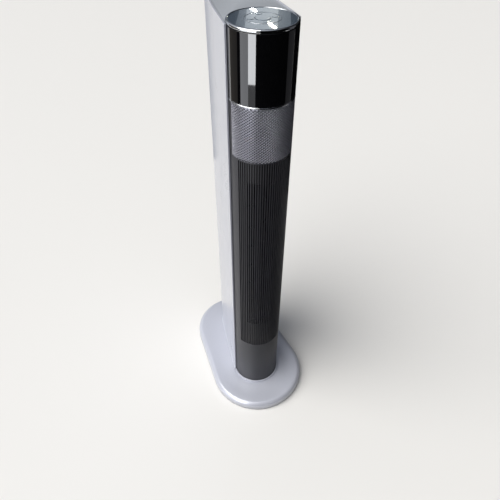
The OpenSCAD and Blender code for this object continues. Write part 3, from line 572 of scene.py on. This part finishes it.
def makeIntake():
    # two windows of upright slots, one over the other
    pitch = intake["span"] / (intake["slots"] - 1)
    halfSlot = math.degrees(intake["slotWidth"] / 2 / housing["rearRadius"])
    angles = [90 - housing["intakeAngle"]]
    for i in range(intake["slots"]):
        middle = 90 - intake["span"] / 2 + pitch * i
        angles += [middle - halfSlot, middle + halfSlot]
    angles.append(90 + housing["intakeAngle"])
    slotHigh = (mouthHigh - mouthLow - 2 * intake["border"] - intake["bar"]) / 2
    first = mouthLow + intake["border"]
    second = first + slotHigh + intake["bar"]
    heights = [mouthLow, first, first + slotHigh, second, mouthHigh - intake["border"], mouthHigh]
    shape = skin(arcColumns(housing["rearRadius"], angles, (0, housing["rearReach"])), heights,
                 housing["wall"], lambda c, r: c % 2 == 1 and r in (1, 3))
    makePiece("rearIntakeGrille", shape, silverPaint, "tower", columnFrame,
              ["rear_grille"], bevel=0.35, sharp=30)


makeIntake()
print("housing")

# the drum's front, angles in degrees to each side of its middle
cover = {
    "wall": 2.0, "reach": 95.0, "grilleAngle": 62.0, "diamondAngle": 78.0, "slots": 27, "slotWidth": 2.1,
    "step": 2.0, "footRows": [40.0, 80.0], "grilleTop": 2.0, "seam": 0.1,
}
ringZ = lowZ("chrome_ring")
diamondZ = lowZ("diamond_panel") - cover["seam"]
grilleZ = lowZ("duct_frame") + 2
footZ = lowZ("front_cover")


def makeFrontCover():
    pitch = 2 * cover["grilleAngle"] / cover["slots"]
    halfSlot = math.degrees(cover["slotWidth"] / 2 / drumR)
    angles = steps(-cover["reach"], -cover["diamondAngle"], cover["step"])
    angles += steps(-cover["diamondAngle"], -cover["grilleAngle"], cover["step"])[1:]
    firstSlot = len(angles)
    for i in range(cover["slots"]):
        middle = -cover["grilleAngle"] + pitch * (i + 0.5)
        angles += [middle - halfSlot, middle + halfSlot]
    lastSlot = len(angles) - 1
    angles += steps(cover["grilleAngle"], cover["diamondAngle"], cover["step"])
    angles += steps(cover["diamondAngle"], cover["reach"], cover["step"])[1:]
    heights = [footZ] + [footZ + rise for rise in cover["footRows"]]
    slotRow = len(heights)
    heights += [grilleZ, diamondZ - cover["grilleTop"], diamondZ, ringZ - cover["seam"]]

    def isOpen(c, r):
        if r == slotRow:
            return firstSlot <= c < lastSlot and (c - firstSlot) % 2 == 0
        return r >= slotRow + 2 and abs((angles[c] + angles[c + 1]) / 2) < cover["diamondAngle"]

    shape = skin(arcColumns(drumR, [270 + a for a in angles]), heights, cover["wall"], isOpen)
    makePiece("frontCover", shape, charcoalAbs, "tower", columnFrame, ["front_cover"],
              bevel=0.35, sharp=25)


makeFrontCover()

# the real mesh has about 26 rows, which run together at the render's size, so it is drawn with 20.
# window, lip and sill are shares of a cell, depths are in mm
diamonds = {
    "columns": 25, "rows": 20, "window": 0.7, "lip": 0.04, "sill": 0.14, "depth": 1.8, "lipDepth": 0.15,
}


def makeDiamondPanel():
    # a lattice of diamond cells, each with a chamfered hole. Its lowest cells end in points over the grille
    halfA = cover["diamondAngle"] / diamonds["columns"]
    halfZ = (ringZ - diamondZ) / diamonds["rows"] / 2
    rOut, rIn = drumR, drumR - diamonds["depth"]
    size = diamonds["window"]
    rHole = rOut - diamonds["lipDepth"] - diamonds["sill"]
    corners = [(1, 0), (0.5, 0.5), (0, 1), (-0.5, 0.5), (-1, 0), (-0.5, -0.5), (0, -1), (0.5, -0.5)]
    points, faces, known = [], [], {}

    def point(a, z, r):
        key = (round(a, 4), round(z, 4), round(r, 4))
        if key not in known:
            t = math.radians(270 + a)
            known[key] = len(points)
            points.append((r * math.cos(t), r * math.sin(t), z))
        return known[key]

    def ringOf(a, z, share, r, sill=0.0):
        ring = []
        for u, v in corners:
            reach = share + (sill if v < 0 else 0)
            ring.append(point(a + u * halfA * reach, z + v * halfZ * reach, r))
        return ring

    def band(first, second):
        for i in range(len(corners)):
            j = (i + 1) % len(corners)
            faces.append((first[i], first[j], second[j], second[i]))

    def triangle(marks):
        for r in (rOut, rIn):
            faces.append(tuple(point(a, z, r) for a, z in marks))

    rowCount = 2 * diamonds["rows"]
    for row in range(1, rowCount):
        z = diamondZ + row * halfZ
        shift = row % 2
        for column in range(diamonds["columns"] + shift):
            a = -cover["diamondAngle"] + (2 * column + 1 - shift) * halfA
            if abs(a) > cover["diamondAngle"] - halfA / 2:
                continue
            edge = ringOf(a, z, 1.0, rOut)
            # the lower lip of each hole slopes like a sill
            lip = ringOf(a, z, size + diamonds["lip"], rOut, diamonds["sill"])
            hole = ringOf(a, z, size, rHole)
            back = ringOf(a, z, size, rIn)
            backEdge = ringOf(a, z, 1.0, rIn)
            for first, second in ((edge, lip), (lip, hole), (hole, back), (back, backEdge)):
                band(first, second)
    # half cells close the sides and the top
    for row in range(0, rowCount, 2):
        z = diamondZ + row * halfZ
        for s in (-1, 1):
            a = s * cover["diamondAngle"]
            triangle([(a, z), (a - s * halfA, z + halfZ), (a, z + 2 * halfZ)])
    for column in range(diamonds["columns"]):
        a = -cover["diamondAngle"] + 2 * column * halfA
        triangle([(a, ringZ), (a + halfA, ringZ - halfZ), (a + 2 * halfA, ringZ)])
    makePiece("diamondPanel", (points, faces), meshPaint, "tower", columnFrame,
              ["diamond_panel"], sharp=30)


makeDiamondPanel()

display = {"angleStep": 1.25, "border": 4.0, "rowStep": 20.0}
displayLow, displayHigh = lowZ("display_cover"), highZ("display_cover")
displayRows = [displayLow]
displayRows += steps(displayLow + display["border"], displayHigh - display["border"], display["rowStep"])
displayRows += [displayHigh]
displayAngles = steps(270 - cover["reach"], 270 + cover["reach"], display["angleStep"])
displayShape = skin(arcColumns(drumR, displayAngles), displayRows, cover["wall"])
makePiece("displayCover", displayShape, pianoBlack, "tower", columnFrame, ["display_cover"],
          bevel=0.4, sharp=50)

chromeRing = {"proud": 0.2, "edge": 0.8, "count": 144}
ringProfile = roundedBand(drumR - cover["wall"], drumR + chromeRing["proud"], ringZ, highZ("chrome_ring"),
                          chromeRing["edge"])
ringShape = lathe(ringProfile, chromeRing["count"], 270 - cover["reach"], 270 + cover["reach"])
makePiece("chromeRing", ringShape, chromePlate, "tower", columnFrame, ["chrome_ring"],
          sharp=50)

bezel = {"edge": 2.2, "innerEdge": 0.4, "gap": 0.15, "count": 192}
bezelHigh = highZ("top_bezel")
discR = halfWidth("control_disc")
bezelIn = discR + bezel["gap"]
bezelProfile = roundedBand(bezelIn, drumR, lowZ("top_bezel"), bezelHigh, bezel["edge"])
bezelProfile[-1:] = [(bezelIn + bezel["innerEdge"], bezelHigh), (bezelIn, bezelHigh - bezel["innerEdge"])]
makePiece("topBezel", lathe(bezelProfile, bezel["count"]), chromePlate, "tower", columnFrame,
          ["top_bezel"], sharp=60)
print("drum covers")

# a round key in the middle and four ovals halfway to a thin chrome line
keys = {
    "powerDiameter": 19.0, "ringDiameter": 44.0, "gap": 0.3, "ovalWidth": 7.4, "ovalHeight": 5.0, "stem": 1.5,
    "lineHalf": 0.35, "lineSunk": 0.3, "lineProud": 0.2, "lineEdge": 0.15,
}
discHigh, discLow = highZ("control_disc"), lowZ("control_disc")
smallAt = (keys["powerDiameter"] + keys["ringDiameter"]) / 4
ovals = {"right": (smallAt, 0), "rear": (0, smallAt), "left": (-smallAt, 0), "front": (0, -smallAt)}
holeWidth, holeHeight = keys["ovalWidth"] + 2 * keys["gap"], keys["ovalHeight"] + 2 * keys["gap"]
discOutlines = [circlePoints(discR, 160), circlePoints(keys["powerDiameter"] / 2 + keys["gap"])]
discOutlines += [ovalPoints(holeWidth, holeHeight, centre) for centre in ovals.values()]
platePiece("controlDisc", discOutlines, discLow, discHigh, controlAcrylic, "tower", columnFrame,
           ["control_disc"], bevel=0.25)

lineR = keys["ringDiameter"] / 2
lineProfile = roundedBand(lineR - keys["lineHalf"], lineR + keys["lineHalf"], discHigh - keys["lineSunk"],
                          discHigh + keys["lineProud"], keys["lineEdge"])
makePiece("controlRing", lathe(lineProfile, 128), chromePlate, "tower", columnFrame, sharp=60)

keyOutlines = {
    name: ovalPoints(keys["ovalWidth"], keys["ovalHeight"], centre) for name, centre in ovals.items()
}
keyOutlines["power"] = circlePoints(keys["powerDiameter"] / 2)
for name, outline in keyOutlines.items():
    node = name + "_button"
    platePiece(name + "Key", [outline], discLow - keys["stem"], highZ(node), controlAcrylic, name + "_key",
               columnFrame, [node], bevel=0.3)
print("controls")

# lens, back, side and height in mm, angles in degrees, places from the drum's foot
camera = {
    "lens": 33.44, "sensor": 36.0, "pitch": 43.09, "roll": 0.25, "heading": 24.0,
    "back": 587.77, "side": -13.88, "height": 916.9,
}
heading = math.radians(camera["heading"])
ahead = Vector((math.sin(heading), math.cos(heading), 0))
rightward = Vector((math.cos(heading), -math.sin(heading), 0))
cameraPlace = Vector((pivot.x, pivot.y, 0)) - ahead * camera["back"] + rightward * camera["side"]
cameraPlace.z = camera["height"]
pitch, roll = math.radians(camera["pitch"]), math.radians(camera["roll"])
look = ahead * math.cos(pitch) - Vector((0, 0, math.sin(pitch)))
upward = rightward.cross(look)
axisX = rightward * math.cos(roll) + upward * math.sin(roll)
axisY = upward * math.cos(roll) - rightward * math.sin(roll)
cameraTurn = Matrix((axisX, axisY, -look)).transposed().to_4x4()
cameraData = bpy.data.cameras.new("camera")
cameraData.lens = camera["lens"]
cameraData.sensor_width = camera["sensor"]
cameraData.clip_start = 0.01
cameraObject = placeObject("camera", cameraData, Matrix.Translation(cameraPlace * mm) @ cameraTurn)
bpy.context.scene.camera = cameraObject

ground = {"reach": 12.0, "seen": "#e8e6e3", "bounced": "#6e6d6b", "grain": 40.0}
far = ground["reach"]
floorMesh = bpy.data.meshes.new("floor")
floorMesh.from_pydata([(-far, -far, 0), (far, -far, 0), (far, far, 0), (-far, far, 0)], [], [(0, 1, 2, 3)])
floor = placeObject("floor", floorMesh)
floorMaterial, floorTree, floorShader, floorWhere = startMaterial("paleFloor", {"Specular IOR Level": 0.3})
floorMesh.materials.append(floorMaterial)
# the floor looks pale, to the eye and in reflections, but throws less light back up at the object
rayKind = addNode(floorTree, "ShaderNodeLightPath").outputs
seen = addNode(floorTree, "ShaderNodeMath", {"operation": "ADD"},
               {0: rayKind["Is Camera Ray"], 1: rayKind["Is Glossy Ray"]}).outputs[0]
seen = addNode(floorTree, "ShaderNodeMath", {"operation": "ADD", "use_clamp": True},
               {0: seen, 1: rayKind["Is Transmission Ray"]}).outputs[0]
floorPaint = twoColours(floorTree, seen, ground["bounced"], ground["seen"])
floorTree.links.new(floorPaint, floorShader.inputs["Base Color"])
floorSheen = spread(floorTree, noiseOf(floorTree, floorWhere, ground["grain"], 2.0), 0.3, 0.7, 0.55, 0.65)
floorTree.links.new(floorSheen, floorShader.inputs["Roughness"])

bpy.context.scene.view_settings.view_transform = "Standard"

drumFoot = Vector((pivot.x * mm, pivot.y * mm, 0))


def towards(azimuth):
    # azimuth is measured round the drum, in degrees to the left of the camera's side
    a = math.radians(camera["heading"] + azimuth)
    return Vector((-math.sin(a), -math.cos(a), 0))


# the room's own light is strongest from the left and above, and weakest at the right
room = {
    "azimuth": 66.0, "side": 0.88, "above": 0.47, "colour": "#e6ebf4",
    "fadeFrom": -0.2, "dark": 0.03, "bright": 0.95,
}
roomSide = towards(room["azimuth"]) * room["side"] + Vector((0, 0, room["above"]))
world = bpy.data.worlds.new("studio")
world.use_nodes = True
worldTree = world.node_tree
worldWhere = addNode(worldTree, "ShaderNodeTexCoord").outputs["Generated"]
fade = addNode(worldTree, "ShaderNodeVectorMath", {"operation": "DOT_PRODUCT", 1: roomSide},
               {0: worldWhere}).outputs["Value"]
background = worldTree.nodes["Background"]
background.inputs["Color"].default_value = colour(room["colour"])
roomLevel = spread(worldTree, fade, room["fadeFrom"], 1, room["dark"], room["bright"])
worldTree.links.new(roomLevel, background.inputs["Strength"])
bpy.context.scene.world = world

# a broad soft sun for the window, distance and height in m
window = {"azimuth": 60.0, "distance": 3.0, "height": 3.6, "energy": 3.0, "angle": 60.0, "tint": "#fffdf8"}
windowData = bpy.data.lights.new("windowLight", "SUN")
windowData.energy = window["energy"]
windowData.color = colour(window["tint"])[:3]
windowData.angle = math.radians(window["angle"])
windowLamp = placeObject("windowLight", windowData)
windowLamp.location = drumFoot + towards(window["azimuth"]) * window["distance"]
windowLamp.location.z = window["height"]
windowLamp.rotation_euler = (drumFoot - windowLamp.location).to_track_quat("-Z", "Y").to_euler()
windowLamp.visible_camera = False


def showInGlossOnly(name, points, faces, hexValue, strength):
    # a studio card that only glossy surfaces see: it lights nothing else and casts no shadow
    mesh = bpy.data.meshes.new(name)
    mesh.from_pydata([tuple(p) for p in points], [], faces)
    mesh.materials.append(startMaterial(name + "Cloth", {
        "Base Color": colour("#0a0a0b"), "Roughness": 1.0, "Specular IOR Level": 0.0,
        "Emission Color": colour(hexValue), "Emission Strength": strength})[0])
    card = placeObject(name, mesh)
    card.visible_camera = card.visible_diffuse = card.visible_shadow = card.visible_transmission = False


def curvedCard(name, left, right, edges, hexValue="#000000", strength=0.0):
    # a card round the drum's axis between two azimuths. Its two edges are (distance, height) in m
    points = []
    for azimuth in steps(left, right, 6):
        for distance, height in edges:
            foot = drumFoot + towards(azimuth) * distance
            points.append((foot.x, foot.y, height))
    faces = [(i, i + 2, i + 3, i + 1) for i in range(0, len(points) - 2, 2)]
    showInGlossOnly(name, points, faces, hexValue, strength)


def cardOverTop(name, corners, distance, hexValue, strength):
    # a card placed so that the camera sees it mirrored in the control disc, between (side, back) on the disc
    points = []
    for side, back in corners:
        at = Vector((pivot.x, pivot.y, discHigh)) + rightward * side + ahead * back
        ray = (at - cameraPlace).normalized()
        points.append((at + Vector((ray.x, ray.y, -ray.z)) * distance) * mm)
    showInGlossOnly(name, points, [(0, 1, 2, 3)], hexValue, strength)


# what the gloss cover and the chrome mirror, from the window's side round to the far side
curvedCard("brightStrip", 44, 20, [(1.1, 0.22), (1.1, 0.75)], "#f4f6fa", 7.0)
curvedCard("lowStrip", 44, 20, [(1.1, 0.01), (1.1, 0.22)], "#eef0f4", 0.55)
curvedCard("paleStrip", 72, 44, [(1.1, 0.01), (1.1, 0.75)], "#e6e8ee", 1.8)
curvedCard("darkCurtain", 84, 72, [(1.1, 0.01), (1.1, 1.2)])
curvedCard("dimWall", 120, 84, [(1.1, 0.002), (1.1, 1.2)], "#b4aea6", 0.28)
curvedCard("dimSide", -84, -112, [(0.8, 0.002), (0.8, 1.2)], "#a6a6ac", 0.2)
curvedCard("darkRoom", 20, -84, [(0.7, 0.002), (0.7, 1.6)])
curvedCard("darkFloor", 12, -100, [(0.15, 0.002), (0.7, 0.002)])
curvedCard("darkCorner", -112, -172, [(0.7, 0.002), (0.7, 0.92)])
curvedCard("blueWall", 190, 157, [(0.9, 0.002), (0.9, 0.92)], "#aebdd4", 0.3)
# what the control disc mirrors: a pale wall with a window in it, and two ceiling tubes
cardOverTop("paleWall", [(-34, -60), (30, -60), (36, 60), (-26, 60)], 2600, "#dfe9f2", 0.5)
cardOverTop("paleWindow", [(-22, -60), (14, -60), (22, 60), (-18, 60)], 2500, "#e4ecf2", 1.4)
cardOverTop("tubeFar", [(-16, 41), (-14, 42), (-6, 24), (-8, 23)], 2400, "#ffffff", 60.0)
cardOverTop("tubeNear", [(5, -17), (7, -16), (16, -40), (14, -41)], 2400, "#fffbe8", 60.0)
print("camera, floor and light")
